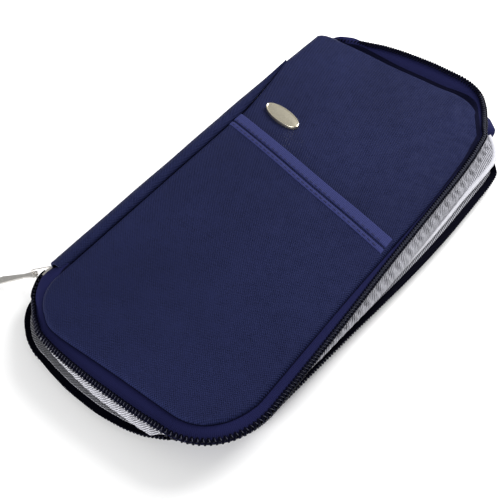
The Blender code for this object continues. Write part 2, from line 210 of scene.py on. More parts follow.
def make_mesh(name, points, faces, material, uv=None, sharp=50):
    """A mesh object from plan points in millimetres, with uv, a pair for each point, in millimetres too.
    Edges that turn by more than sharp degrees stay crisp."""
    mesh = bpy.data.meshes.new(name)
    mesh.from_pydata(place(points).tolist(), [], faces)
    mesh.validate()
    points = np.asarray(points, float)
    uv = points[:, :2] if uv is None else np.asarray(uv, float)
    layer = mesh.uv_layers.new(name="cloth")
    corner = np.empty(len(mesh.loops), np.int32)
    mesh.loops.foreach_get("vertex_index", corner)
    layer.data.foreach_set("uv", (uv[corner] * MM).ravel())
    obj = bpy.data.objects.new(name, mesh)
    bpy.context.scene.collection.objects.link(obj)
    obj.data.materials.append(material)
    mesh.shade_smooth()
    mesh.set_sharp_from_angle(angle=math.radians(sharp))
    return obj


def settle(obj, body, slot, *stands_for):
    """Puts a piece on its body and hides the CAD nodes it stands for; slot, its material slot's name, is not
    used.
    """
    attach(obj, body)
    if stands_for:
        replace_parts(obj, *stands_for)
    return obj


def grid_faces(rows, columns, wrap=False, start=0, flip=False):
    """The four-sided faces of a grid of points that are numbered row by row."""
    r = np.arange(rows - 1)[:, None]
    c = np.arange(columns if wrap else columns - 1)[None, :]
    d = (c + 1) % columns
    here, above = start + r * columns, start + (r + 1) * columns
    quad = [here + c, here + d, above + d, above + c]
    if flip:
        quad = quad[::-1]
    return np.stack(np.broadcast_arrays(*quad), -1).reshape(-1, 4).tolist()


def caps(rows, columns):
    """The two end faces of a wrapped grid."""
    return [list(range(columns))[::-1], [(rows - 1) * columns + c for c in range(columns)]]


def run_length(path):
    """How far along its path each point lies."""
    return np.concatenate([[0], np.cumsum(np.linalg.norm(np.diff(path, axis=0), axis=1))])


def row_length(rows):
    """The same for many paths at once: shape (path, point, coordinates)."""
    return np.cumsum(np.linalg.norm(np.diff(rows, axis=1, prepend=rows[:, :1]), axis=2), axis=1)


def paired(u, v):
    """Cloth coordinates from a value for each row and one for each column."""
    return np.stack(np.broadcast_arrays(u, v), -1)


def closed_sheet(name, top, bottom, material, uv=None):
    """A thick sheet from two grids of points, shape (row, column, 3), joined round the border."""
    rows, columns = top.shape[:2]
    size = rows * columns
    faces = grid_faces(rows, columns) + grid_faces(rows, columns, start=size, flip=True)
    border = list(range(columns)) + [r * columns + columns - 1 for r in range(1, rows)]
    border += [(rows - 1) * columns + c for c in range(columns - 2, -1, -1)]
    border += [r * columns for r in range(rows - 2, 0, -1)]
    for i, a in enumerate(border):
        b = border[(i + 1) % len(border)]
        faces.append([b, a, a + size, b + size])
    points = np.concatenate([top.reshape(-1, 3), bottom.reshape(-1, 3)])
    if uv is not None:
        uv = np.concatenate([np.asarray(uv).reshape(-1, 2)] * 2)
    return make_mesh(name, points, faces, material, uv)


def tubes(name, paths, radii, material, reference=None, sides=6):
    """Tubes in one mesh. paths has shape (tube, point, 3), radii one radius for each point, and reference a
    direction for each point that the path never runs along."""
    paths = np.asarray(paths, float)
    count, k = paths.shape[:2]
    run = np.gradient(paths, axis=1)
    run /= np.linalg.norm(run, axis=2, keepdims=True) + 1e-9
    if reference is None:
        reference = np.where(np.abs(run[..., 2:3]) > 0.8, [1.0, 0.0, 0.0], [0.0, 0.0, 1.0])
    a = reference - np.sum(reference * run, axis=2, keepdims=True) * run
    a /= np.linalg.norm(a, axis=2, keepdims=True) + 1e-9
    b = np.cross(run, a)
    angle = 2 * np.pi * np.arange(sides) / sides
    circle = a[:, :, None, :] * np.cos(angle)[:, None] + b[:, :, None, :] * np.sin(angle)[:, None]
    radii = np.broadcast_to(np.asarray(radii, float), (k,))
    points = paths[:, :, None, :] + circle * radii[None, :, None, None]
    one = np.array(grid_faces(k, sides, wrap=True))
    base = np.arange(count)[:, None, None] * k * sides
    faces = (one[None] + base).reshape(-1, 4).tolist()
    for t in range(count):
        first, last = t * k * sides, (t + 1) * k * sides - sides
        faces += [list(range(first, first + sides))[::-1], list(range(last, last + sides))]
    uv = paired(row_length(paths)[:, :, None], np.arange(sides) * 0.5)
    return make_mesh(name, points.reshape(-1, 3), faces, material, uv.reshape(-1, 2))


# ---------------------------------------------------------------- outlines

def smooth_through(keys, at):
    """The key rows' values at each place, on a smooth curve that never swings past them."""
    keys = np.array(keys, float)
    x, y = keys[:, 0], keys[:, 1:]
    step = np.diff(x)[:, None]
    secant = np.diff(y, axis=0) / step
    slope = np.zeros_like(y)
    product = secant[1:] * secant[:-1]
    slope[1:-1] = np.where(product > 0, 2 * product / (secant[1:] + secant[:-1] + 1e-12), 0)
    at = np.clip(np.asarray(at, float), x[0], x[-1])
    i = np.clip(np.searchsorted(x, at, side="right") - 1, 0, len(x) - 2)
    h = step[i]
    t = ((at - x[i])[:, None]) / h
    return ((2 * t**3 - 3 * t**2 + 1) * y[i] + (t**3 - 2 * t**2 + t) * h * slope[i]
            + (-2 * t**3 + 3 * t**2) * y[i + 1] + (t**3 - t**2) * h * slope[i + 1])


def seam_path(spacing):
    """(points, outward directions, stations, lengths) along the seam, evenly spaced, from the spine at corner
    A round to the spine at corner D. Stations 1 to 6 are the ends of each corner and edge, and stations 0 and
    7 are the zip's two ends, just after the spine."""
    start = TUCK_DEG / (90 + TUCK_DEG)
    end = 7 - start
    corners = [
        (LEFT + RADIUS_A, NEAR + RADIUS_A, RADIUS_A, 180, 270, start, 1),
        (RIGHT - RADIUS_B, NEAR + RADIUS_B, RADIUS_B, 270, 360, 2, 3),
        (RIGHT - RADIUS_C, FAR - RADIUS_C, RADIUS_C, 0, 90, 4, 5),
        (LEFT + RADIUS_D, FAR - RADIUS_D, RADIUS_D, 90, 180, 6, end),
    ]
    fine = 200
    t = np.linspace(0, 1, fine)[:-1]
    points = [np.stack([LEFT + 0 * t, NEAR + RADIUS_A + SPINE_RUN * (1 - t)], 1)]
    outward, stations = [np.tile([-1.0, 0.0], (fine - 1, 1))], [start - 2 * start * (1 - t)]
    for c, (x, y, radius, first, last, low, high) in enumerate(corners):
        angle = np.radians(np.linspace(first, last, fine))
        out = np.stack([np.cos(angle), np.sin(angle)], 1)
        arc = np.array([x, y]) + out * radius
        if c:
            t = np.linspace(0, 1, fine)[1:-1, None]
            points.append(points[-1][-1] + (arc[0] - points[-1][-1]) * t)
            outward.append(np.repeat(out[:1], fine - 2, 0))
            stations.append(2 * c - 1 + t[:, 0])
        points.append(arc)
        outward.append(out)
        stations.append(np.linspace(low, high, fine))
    t = np.linspace(0, 1, fine)[1:]
    points.append(np.stack([LEFT + 0 * t, FAR - RADIUS_D - SPINE_RUN * t], 1))
    outward.append(np.tile([-1.0, 0.0], (fine - 1, 1)))
    stations.append(end + 2 * start * t)
    points, outward, stations = np.concatenate(points), np.concatenate(outward), np.concatenate(stations)
    length = run_length(points)
    even = np.arange(0, length[-1], spacing)
    pick = [np.interp(even, length, column) for column in (*points.T, *outward.T, stations)]
    out = np.stack(pick[2:4], 1)
    out /= np.linalg.norm(out, axis=1, keepdims=True)
    return np.stack(pick[:2], 1), out, pick[4], even


class Outline:
    """The seam moved outward by reach(station), with the straight spine side closing it."""

    def __init__(self, reach, spacing=1.0):
        seam, out, self.station, _ = seam_path(spacing)
        self.points = seam + out * reach(self.station)[:, None]
        self.points[:, 0] = np.maximum(self.points[:, 0], self.points[0, 0])
        turn = int(np.argmax(self.points[:, 0] + 1e-4 * np.arange(len(self.points))))
        self.lower, self.upper = self.points[: turn + 1], self.points[turn:][::-1]

    def near(self, x):
        """y on the outline's near part at each x."""
        return np.interp(x, np.maximum.accumulate(self.lower[:, 0]), self.lower[:, 1])

    def far(self, x):
        """y on the outline's far part at each x."""
        return np.interp(x, np.maximum.accumulate(self.upper[:, 0]), self.upper[:, 1])

    def depth(self, x, y):
        """(how far inside the outline, the station of the nearest place on it) for each point."""
        shape = np.shape(x)
        q = np.stack([np.ravel(x), np.ravel(y)], 1)
        a = self.points
        b = np.roll(a, -1, axis=0)
        ab = b - a
        best, where = np.full(len(q), np.inf), np.zeros(len(q), int)
        for i in range(len(a)):
            t = np.clip((q - a[i]) @ ab[i] / (ab[i] @ ab[i] + 1e-12), 0, 1)
            d = np.hypot(*(q - a[i] - t[:, None] * ab[i]).T)
            closer = d < best
            best[closer], where[closer] = d[closer], i
        return best.reshape(shape), self.station[where].reshape(shape)

    def patch(self, far=None, columns=110, rows=170, margin=0.0):
        """Grids of x and y that fill the outline, or the part of it before a line y = far(x), with a margin
        left free at both sides."""
        x = crowded(self.points[:, 0].min() + margin, self.points[:, 0].max() - margin, columns)
        low = self.near(x)
        high = self.far(x) if far is None else np.minimum(far(x), self.far(x))
        y = low + (high - low) * crowded(0, 1, rows)[:, None]
        return np.broadcast_to(x, y.shape).copy(), y


def inset_outline(amount, spacing=2.0):
    """The seam's outline drawn in by the same amount all round."""
    return Outline(lambda station: -amount + 0 * station, spacing)


def crowded(low, high, count, pull=1.7):
    """Values from low to high that stand closer together near both ends."""
    t = np.linspace(-1, 1, count)
    t = np.sign(t) * (1 - (1 - np.abs(t)) ** pull)
    return low + (high - low) * (t + 1) / 2


def mouth_y(x):
    """Where the slip pocket's mouth lies."""
    return MOUTH_Y + (x - MOUTH_X) * MOUTH_FALL


def rolled(depth, width, height):
    """The height of a rounded edge at this depth inside it."""
    t = np.clip(depth / width, 0, 1)
    return height * np.sqrt(np.maximum(1 - (1 - t) ** 2, 0))


def sheet_between(name, x, y, top, bottom, material, uv=None):
    """A thick sheet on the grid x, y with its top and bottom heights."""
    top, bottom = (np.stack([x, y, np.broadcast_to(z, x.shape)], -1) for z in (top, bottom))
    return closed_sheet(name, top, bottom, material, uv)


def lay(name, x, y, top, bottom, material, body, slot, *stands_for, uv=None):
    return settle(sheet_between(name, x, y, top, bottom, material, uv), body, slot, *stands_for)


def lattice(x_first, x_last, columns, y_first, y_last, rows):
    """Even grids of x and y."""
    return np.meshgrid(np.linspace(x_first, x_last, columns), np.linspace(y_first, y_last, rows))


# ---------------------------------------------------------------- the zip's two edges

# Station, how far the cover's own edge lies beyond the seam, and its height there.
FRONT_RIM = (
    (-0.3, -0.7, 16.2), (0.0, -0.8, 16.2), (0.2, -1.0, 16.4), (0.5, -0.6, 16.6), (0.75, -0.4, 16.7),
    (0.92, 0.8, 16.8), (1.1, 1.7, 16.8), (1.5, 1.5, 16.8), (2.0, 1.7, 16.8), (2.3, 1.7, 16.8),
    (2.5, 1.2, 16.7), (2.75, 0.8, 16.6), (3.0, 1.2, 16.6), (3.3, 1.6, 16.4), (3.5, 2.4, 16.0),
    (3.7, 3.0, 15.6), (3.88, 2.8, 15.6), (3.96, 1.6, 15.8), (4.05, -0.5, 16.2), (4.2, -2.6, 16.6),
    (4.4, -3.7, 16.8), (4.6, -4.9, 16.8), (4.82, -6.5, 16.8), (5.02, -7.0, 16.8), (5.27, -5.6, 16.8),
    (5.53, -4.2, 16.8), (5.81, -1.6, 16.8), (5.95, -0.3, 16.6), (6.12, 1.6, 16.2), (6.22, 4.6, 15.6),
    (6.35, 7.0, 15.2), (6.48, 5.9, 15.0), (6.65, 5.6, 15.0), (6.85, 5.6, 14.8), (7.0, 2.0, 14.8),
    (7.3, -0.7, 14.8),
)

# Station, the coil's middle beyond the seam, its height, and its tilt above level.
FRONT_ZIP = (
    (-0.2, 4.4, 13.9, -98), (0.0, 5.8, 13.4, -98), (0.12, 7.6, 12.6, -98), (0.23, 8.4, 12.0, -98),
    (0.33, 7.3, 12.0, -98), (0.44, 5.7, 12.7, -95), (0.55, 4.3, 13.5, -85), (0.65, 3.6, 14.4, -68),
    (0.8, 3.9, 15.4, -42), (0.9, 5.0, 15.9, -28), (1.0, 5.9, 16.2, -20), (1.1, 7.0, 16.4, -16),
    (1.2, 7.7, 16.5, -13), (1.3, 8.2, 16.6, -12), (1.5, 8.7, 16.6, -12), (1.8, 8.8, 16.6, -12),
    (2.0, 8.3, 16.6, -12), (2.25, 8.2, 16.6, -12), (2.47, 7.9, 16.5, -12), (2.72, 7.1, 16.5, -14),
    (2.93, 6.6, 16.5, -16), (3.1, 6.7, 16.4, -18), (3.3, 6.3, 16.4, -20), (3.5, 5.5, 16.3, -24),
    (3.8, 5.3, 16.3, -28), (3.9, 4.7, 16.3, -28), (3.96, 3.6, 16.3, -25), (4.02, 2.4, 16.4, -22),
    (4.14, 0.3, 16.6, -18), (4.31, -0.4, 16.8, -10), (4.47, 0.3, 17.0, -4), (4.69, 2.6, 17.3, 4),
    (4.86, 4.1, 17.6, 10), (5.05, 5.6, 17.9, 14), (5.31, 7.5, 18.0, 16), (5.55, 8.0, 18.0, 14),
    (5.74, 7.9, 17.6, 8), (5.9, 6.9, 17.0, 0), (6.0, 6.1, 16.7, -5), (6.12, 5.4, 16.3, -12),
    (6.25, 6.1, 15.8, -20), (6.34, 6.2, 15.0, -38), (6.42, 5.5, 14.2, -60), (6.52, 4.4, 13.4, -82),
    (7.0, 2.6, 12.8, -92),
)
BACK_ZIP = (
    (0.0, 5.0, 6.8, 90), (0.12, 5.6, 6.8, 90), (0.25, 7.2, 5.8, 62), (0.5, 9.2, 4.6, 26),
    (0.7, 8.7, 4.4, 20), (0.95, 8.8, 4.2, 14), (1.1, 10.3, 4.0, 12), (1.3, 12.0, 4.0, 10),
    (1.5, 12.4, 3.8, 8), (1.7, 11.4, 4.0, 10), (1.84, 9.6, 4.4, 14), (1.96, 7.0, 5.8, 30),
    (2.07, 5.0, 7.6, 62), (2.2, 4.0, 8.6, 74), (2.6, 3.6, 9.2, 78), (3.0, 3.9, 8.2, 66),
    (3.11, 4.9, 6.8, 46), (3.26, 6.8, 5.0, 24), (3.4, 9.3, 4.4, 14), (3.5, 11.2, 4.2, 12),
    (3.6, 12.7, 4.2, 12), (3.7, 13.7, 4.2, 14), (3.8, 14.2, 4.3, 18), (3.9, 14.6, 4.5, 24),
    (3.94, 14.3, 4.6, 30), (3.97, 11.6, 4.9, 45), (4.01, 6.4, 6.2, 80), (4.05, 2.2, 10.0, 120),
    (4.09, 1.2, 13.0, 150), (4.14, 0.6, 14.3, 160), (4.2, 0.4, 14.5, 160), (4.28, 0.1, 14.3, 150),
    (4.36, -0.3, 14.1, 130), (4.6, 0.2, 13.4, 90), (4.8, 2.4, 12.6, 78), (5.0, 3.8, 11.6, 72),
    (5.4, 5.4, 10.4, 64), (5.9, 5.6, 8.6, 60), (6.3, 5.4, 7.2, 80), (6.5, 5.0, 6.8, 90),
    (7.0, 4.6, 6.8, 90),
)
TAPE_START, FRONT_START, BACK_START, ZIP_END = -0.19, 0.16, 0.05, 7.0
TAPE_SPACING = 0.75
TAPE_OFF = -0.85  # how far the tapes lie behind the coil's middle
COIL_OFF = 0.25  # how far the coil's middle stands off its key places
LAST_STITCHED = 4.7  # the station where the stitches along the coils stop being seen


def along_far_side(station):
    """1 along the far short edge, where the cover's rim stands clear above the zip's root."""
    return smoothstep(station, 4.3, 4.8) * smoothstep(station, 6.25, 5.9)


class Edge:
    """One zip edge: its seam line, and the coil's middle with its own directions."""

    def __init__(self, keys, first, last, spacing, outer_sign, root, belly):
        seam, out, station, length = seam_path(spacing)
        pick = (station >= first) & (station <= last)
        self.seam, self.out, self.station, self.length = seam[pick], out[pick], station[pick], length[pick]
        reach, height, tilt = smooth_through(keys, self.station).T
        tilt = np.radians(tilt)
        self.reach, self.height = reach, height
        # As (outward, up): along the tape towards the teeth, and out of the tape's outer face.
        self.ahead = np.stack([np.cos(tilt), np.sin(tilt)], 1)
        self.face = outer_sign * np.stack([-self.ahead[:, 1], self.ahead[:, 0]], 1)
        self.root = root(self.station)
        self.belly = belly(self.station)
        # 1 where the tape folds over the teeth, before the zip dives behind the cover's far corner.
        self.hood = smoothstep(self.station, 5.88, 6.12) * (outer_sign > 0)
        self.run = np.stack([-self.out[:, 1], self.out[:, 0], np.zeros(len(self.out))], 1)

    def point(self, flat):
        """Plan points from (outward, up) pairs, shape (station, column, 2)."""
        plan = self.seam[:, None] + self.out[:, None] * flat[..., :1]
        return np.concatenate([plan, flat[..., 1:]], -1)

    def middle(self, along=0.0, off=0.0):
        """(outward, up) of a place on the coil: along the tape towards the teeth, and off its outer face."""
        return np.stack([self.reach, self.height], 1) + self.ahead * along + self.face * off

    def follow(self, length, columns):
        """The columns' values at each length along the edge."""
        return np.stack([np.interp(length, self.length, c) for c in columns.T], -1)

    def tape(self, last, columns=18):
        """(outward, up) pairs across the tape, from its root to a fraction of its width. The curve leaves the
        root level and comes in along the teeth's own direction."""
        start = self.root
        end = self.middle((0.6 + 1.3 * self.hood)[:, None], (TAPE_OFF + 2.3 * self.hood)[:, None])
        span = np.linalg.norm(end - start, axis=1, keepdims=True)
        level = np.array([1.0, 0.0])
        corners = start, start + level * span * 0.36, end - self.ahead * span * 0.42, end
        s, a, b, e = (corner[:, None] for corner in corners)
        t = np.linspace(0.0, last, columns)[None, :, None]
        curve = s * (1 - t) ** 3 + 3 * a * t * (1 - t) ** 2 + 3 * b * t**2 * (1 - t) + e * t**3
        return curve + np.array([1.0, 0.45]) * self.belly[:, None, None] * np.sin(np.pi * t**1.5) ** 1.3

    def ribbon(self, name, flat, thickness, material):
        """A thick band along the edge, from its (outward, up) middle line at each station."""
        slope = np.gradient(flat, axis=1)
        slope /= np.linalg.norm(slope, axis=2, keepdims=True) + 1e-9
        normal = np.stack([-slope[..., 1], slope[..., 0]], -1)
        uv = paired(self.length[:, None], row_length(flat))
        half = normal * (thickness / 2)
        return closed_sheet(name, self.point(flat + half), self.point(flat - half), material, uv)


COIL_HALF_WIDTH, COIL_HALF_HEIGHT, COIL_WIRE, TURN_POINTS = 1.1, 0.55, 0.43, 12


def helix(edge):
    """(path, wire radii, references) of a coil of nylon wound along the edge."""
    turns = (edge.length[-1] - edge.length[0]) / TOOTH_PITCH
    count = int(turns * TURN_POINTS)
    s = np.linspace(edge.length[0], edge.length[-1], count)
    angle = (s - s[0]) / TOOTH_PITCH * 2 * np.pi
    seam, out, ahead, face, middle, run = (edge.follow(s, columns) for columns in (
        edge.seam, edge.out, edge.ahead, edge.face, edge.middle(0, COIL_OFF), edge.run))
    across, up = np.cos(angle), np.sin(angle)
    across, up = np.sign(across) * np.abs(across) ** 0.75, np.sign(up) * np.abs(up) ** 0.75
    flat = middle + ahead * (across * COIL_HALF_WIDTH)[:, None] + face * (up * COIL_HALF_HEIGHT)[:, None]
    path = np.concatenate([seam + out * flat[:, :1], flat[:, 1:]], 1)
    radii = COIL_WIRE * (1 + 0.28 * np.clip(np.cos(angle), 0, 1) ** 3)  # the teeth's heads are thicker
    return path[None], radii, run[None]


def tooth_stitches(name, edge):
    """The sewing thread that crosses the coil in the gap between each two teeth, coloured lighter than its
    real dark navy as painted glints on the coil.
    """
    end = np.interp(LAST_STITCHED, edge.station, edge.length)
    turns = int((end - edge.length[0]) / TOOTH_PITCH) - 1
    across = np.linspace(-0.75, 0.45, 5)
    lean = np.linspace(-0.12, 0.12, 5)
    s = edge.length[0] + (np.arange(turns)[:, None] + 0.75 + lean) * TOOTH_PITCH
    middle, ahead, face, seam, out = (edge.follow(s, columns) for columns in (
        edge.middle(0, 1.0), edge.ahead, edge.face, edge.seam, edge.out))
    flat = middle + ahead * across[:, None]
    flat -= face * (0.5 * (across[:, None] / 0.75) ** 4)
    plan = seam + out * flat[..., :1]
    return tubes(name, np.concatenate([plan, flat[..., 1:]], -1), 0.14, COIL_THREAD_PAINTED_GLINT, sides=5)


def front_root(station):
    """Where the front tape leaves the cover, as (outward, up)."""
    out, height = smooth_through(FRONT_RIM, station).T
    trough = 3.6 * along_far_side(station)
    by_band = 1.7 * smoothstep(station, 0.25, 0.0)
    return np.stack([out - 1.6, height - 0.6 - trough + by_band], 1)


def back_root(station):
    """Where the back tape leaves the cover, as (outward, up)."""
    return np.stack([np.full(len(station), -1.2), np.full(len(station), 1.9)], 1)


def no_belly(station):
    return 0 * station


def corner_belly(station):
    """Past the open side the lower tape folds out in a round lobe between the page and the zip."""
    return 3.3 * smoothstep(station, 4.13, 4.26) * smoothstep(station, 4.62, 4.4)


front_cloth = Edge(FRONT_ZIP, TAPE_START, ZIP_END, TAPE_SPACING, 1, front_root, no_belly)
front = Edge(FRONT_ZIP, FRONT_START, ZIP_END, TAPE_SPACING, 1, front_root, no_belly)
back = Edge(BACK_ZIP, BACK_START, ZIP_END, TAPE_SPACING, -1, back_root, corner_belly)

for cloth, edge, side in ((front_cloth, front, "front"), (back, back, "back")):
    body = f"{side}_cover"
    settle(cloth.ribbon(f"{side}_tape", cloth.tape(1.0), 0.6, TAPE), body, "navy_tape", f"{side}_zip_tape")
    path, radii, reference = helix(edge)
    settle(tubes(f"{side}_coil", path, radii, COIL, reference), body, "coil_nylon", f"{side}_zip_coil")
    core = edge.point(edge.middle(0, COIL_OFF)[:, None])[None, :, 0]
    settle(tubes(f"{side}_coil_core", core, 0.42, COIL), body, "coil_nylon")
    settle(tooth_stitches(f"{side}_coil_stitches", edge), body, "coil_nylon")
    # The dark strip behind the teeth, from strip_start to strip_end along the tape.
    station, strip_start = edge.station, -1.35
    if side == "front":
        strip_end = 0.8 + 0.7 * smoothstep(station, 4.2, 4.5)
        # Close to the slider the strip is folded round outside the teeth.
        strip_off = -1.3 + 2.3 * smoothstep(station, 0.62, 0.45)
    else:
        strip_end = 1.75 + 0.35 * smoothstep(station, 0.85, 1.1) + 0.3 * smoothstep(station, 2.4, 3.0)
        strip_off = np.full(len(station), -1.05)
    along = strip_start + (strip_end - strip_start)[:, None] * np.linspace(0, 1, 8)
    strip = np.stack([edge.reach, edge.height], 1)[:, None] + edge.ahead[:, None] * along[..., None]
    strip += (edge.face * strip_off[:, None])[:, None]
    settle(edge.ribbon(f"{side}_coil_strip", strip, 0.35, DARK_TAPE_AND_PAINTED_SHADE), body, "navy_tape")

# Painted shade: a near-black band laid in the groove between the cover's rolled edge and the zip, standing in
# for the shadow under the rolled edge. It is widest along the far short edge.
groove = front_cloth.tape(1.0, 40)
groove_shade_width = 1.9 + 5.6 * along_far_side(front_cloth.station)
places = np.linspace(0, 1, 8)[None] * groove_shade_width[:, None]
groove_shade_band = np.stack([[np.interp(row, run_row, line[:, k]) for k in (0, 1)]
                 for row, run_row, line in zip(places, row_length(groove), groove)]).transpose(0, 2, 1)
groove_shade_band[..., 1] += 0.42
settle(front_cloth.ribbon("front_groove_painted_shade", groove_shade_band, 0.25, GROOVE_PAINTED_SHADE), "front_cover", "navy_tape")


# ---------------------------------------------------------------- the covers

def rim_reach(station):
    return smooth_through(FRONT_RIM, station)[:, 0]


def rim_height(station):
    return smooth_through(FRONT_RIM, np.ravel(station))[:, 1].reshape(np.shape(station))


front_rim = Outline(rim_reach)


def front_height(x, y, edge=None):
    """The top of the front cover: a rolled edge, then a soft crown with faint waves. edge is what
    front_rim.depth(x, y) gives, where it's known already."""
    depth, station = edge or front_rim.depth(x, y)
    rim = rim_height(station)
    by_spine = smoothstep(x, 12, 7) * smoothstep(y, 26, 36) * smoothstep(y, 216, 206)
    rim = rim * (1 - by_spine) + 15.2 * by_spine
    width = 1.9 + (1.1 - 0.6 * by_spine) * (COVER_TOP - 1.1 - rim)
    edge_roll = rim + rolled(depth, width, 1.0) * (COVER_TOP - rim)
    crown = 0.75 * (1 - np.exp(-depth / 14))
    # The open corner hangs lower.
    crown -= 2.0 * smoothstep(x, 90, 114) * smoothstep(y, 130, 200)
    wave = 0.16 * np.sin(x / 17 + y / 23) + 0.12 * np.sin(x / 11 - y / 15 + 1.3)
    pucker = 0.10 * np.sin((x + y) * 0.9) * np.exp(-((depth - 2.5) / 2.5) ** 2)
    return edge_roll + crown + (wave + pucker) * smoothstep(depth, 0, 8)


def past_band(y):
    """0 where the spine band has its full width, 1 where it has run out at the far end."""
    return 0.7 * np.clip((y - 160) / 48, 0, 1) + 0.3 * smoothstep(y, 160, 208)


def bulge_past_spine(x, y):
    """x with the cover's far corner swollen out over the spine's end."""
    bulge = 6.6 * past_band(y) + 0.9 * smoothstep(y, 190, 208) * smoothstep(y, 240, 212)
    return x - bulge * smoothstep(x, 30, 7)


x, y = front_rim.patch()
depth, station = front_rim.depth(x, y)
top = front_height(x, y, (depth, station))
skirt = 3.3 * along_far_side(station) * np.exp(-depth / 1.2)  # reaches down to the tape's root
low = np.minimum(SHELL_LOW + 0.5 * np.exp(-depth / 2), rim_height(station) - 0.4) - skirt
shell = lay("front_shell", bulge_past_spine(x, y), y, top, low, OXFORD, "front_cover", "navy_oxford",
            "front_panel", "front_foam")

# The slanted pocket lies on the lower part of the cover.
x, y = front_rim.patch(far=lambda v: mouth_y(v) - 0.8, margin=0.15)
depth, station = front_rim.depth(x, y)
under = front_height(x, y, (depth, station))
lift = 0.12 + 0.6 * rolled(depth, 2.6, 1.0)
lay("pocket_cloth", x, y, under + lift, under - 0.25, OXFORD, "front_cover", "navy_oxford", "front_pocket")


def mouth_band(name, low, high, lift, edge_roll, node):
    """A band along the pocket's mouth, between two distances square to it, that sinks into the seams at its
    ends."""
    v = low + (high - low) * crowded(0, 1, 22)[:, None]
    x = crowded(front_rim.points[0, 0] + 0.1, MOUTH_END, 150)[None, :] + 0 * v
    y = mouth_y(x) + v * ACROSS_MOUTH
    edge = front_rim.depth(x, y)
    base = front_height(x, y, edge)
    side = rolled(np.minimum(v - low, high - v) + 0 * x, edge_roll, 1.0)
    top = base + 0.15 + (lift - 0.15) * side * rolled(edge[0], 2.4, 1.0)
    top += 0.05 * np.sin(x / 6.5) * side
    lay(name, x, y, top, base - 0.2, BINDING, "front_cover", "navy_binding", node,
        uv=np.stack([x, y - mouth_y(x)], -1))


mouth_band("pocket_binding", -5.7, 0.1, 1.35, 0.7, "front_pocket_binding")
mouth_band("pocket_hem", -9.2, -6.5, 1.3, 0.8, "front_pocket_hem")

STITCH, STITCH_GAP, STITCH_RADIUS = 2.3, 0.9, 0.2


def stitch_row(name, across, lift):
    """Stitches along the pocket's mouth, at a distance square to it. Their ends dip into the cloth."""
    x = np.linspace(9.5, 111.5, 160)
    y = mouth_y(x) + across * ACROSS_MOUTH
    path = np.stack([x, y, front_height(x, y) + lift + 0.05], 1)
    along = run_length(path)
    starts = np.arange(0.5, along[-1] - STITCH, STITCH + STITCH_GAP)
    t = np.linspace(0, 1, 7)
    points = np.stack([np.interp(starts[:, None] + t * STITCH, along, c) for c in path.T], -1)
    dip = (2 * t - 1) ** 4
    points[..., 2] -= 0.28 * dip
    row = tubes(name, points, STITCH_RADIUS * (1 - 0.3 * dip), THREAD, sides=5)
    settle(row, "front_cover", "navy_binding")


stitch_row("binding_stitches", -4.9, 1.36)
stitch_row("hem_stitches", -8.2, 1.3)

# The back cover.
back_rim = inset_outline(-0.4, 1.0)
x, y = back_rim.patch()
depth, _ = back_rim.depth(x, y)
lower = 0.9 * np.exp(-depth / 1.2) + 0.04 * (1 + np.sin(x / 9) * np.sin(y / 12))
shell = lay("back_shell", x, y, 1.7 + rolled(depth, 3, 1.1), lower, OXFORD, "back_cover", "navy_oxford",
            "back_panel", "back_foam")

# Lining inside the back cover, and its rim that runs out over the tape to the coil.
x, y = inset_outline(0.6, 1.0).patch(columns=70, rows=110)
lay("back_inner", x, y, 3.4 + 0.15 * np.sin(x / 13) * np.sin(y / 17), 2.95, TWILL, "back_cover",
    "grey_lining", "back_lining")
fraction = np.linspace(0, 1, 16)[None, :, None]
inner = back.tape(0.9, 16) - back.face[:, None] * (0.62 - 0.1 * fraction)
inner[..., 0] -= 0.35 * back.belly[:, None]
inner[:, 0] = -2.5, LINING_LOW
settle(back.ribbon("back_lining_rim", inner, 0.35, TWILL), "back_cover", "grey_lining")

# Lining inside the front cover. It stays inside the cover's rim where that draws back.
front_in = Outline(lambda s: np.minimum(rim_reach(s), 0.7 * rim_reach(s)) - 1.4)
x, y = front_in.patch(columns=70, rows=110)
depth, _ = front_in.depth(x, y)
lay("front_inner", x, y, LINING_TOP, 14.5 - 0.15 * rolled(depth, 20, 1.0), TWILL, "front_cover",
    "grey_lining", "front_lining")

# Its gathered edge beside the zip, which hangs furthest into the gape on the open side.
ruffle = Edge(FRONT_ZIP, 0.75, 4.28, 0.4, 1, front_root, no_belly)
station, reach, height = ruffle.station, ruffle.reach, ruffle.height
t = np.linspace(0, 1, 14)[None, :, None]
open_side = smoothstep(station, 3.1, 3.5) * smoothstep(station, 4.2, 4.05)
shut = smoothstep(station, 1.9, 2.2) * smoothstep(station, 3.2, 3.0)
near_side = smoothstep(station, 0.95, 1.6) * smoothstep(station, 2.02, 1.92)
start = np.stack([reach - 8.0, np.full(len(reach), LINING_TOP)], 1)[:, None]
elbow = np.stack([reach + 0.2 + 1.6 * open_side + 0.9 * near_side - 1.6 * shut, height - 1.8], 1)[:, None]
end = np.stack([reach + 0.6 + 3.6 * open_side + 1.3 * near_side - 2.2 * shut,
                height - 3.6 - 3.7 * open_side - 3.2 * near_side], 1)[:, None]
flat = start * (1 - t) ** 2 + 2 * elbow * t * (1 - t) + end * t**2
gather = np.sin(ruffle.length / 4.9 * 2 * np.pi) + 0.3 * np.sin(ruffle.length / 3.1 * 2 * np.pi + 1)
crease = np.exp(-(((t[..., 0] - 0.72) / 0.1) ** 2))
flat += (gather[:, None] * (0.12 * t[..., 0] + 0.65 * crease))[..., None] * np.array([0.8, 0.55])
settle(ruffle.ribbon("front_gathered_lining", flat, 0.4, TWILL), "front_cover", "grey_lining")


# ---------------------------------------------------------------- the spine

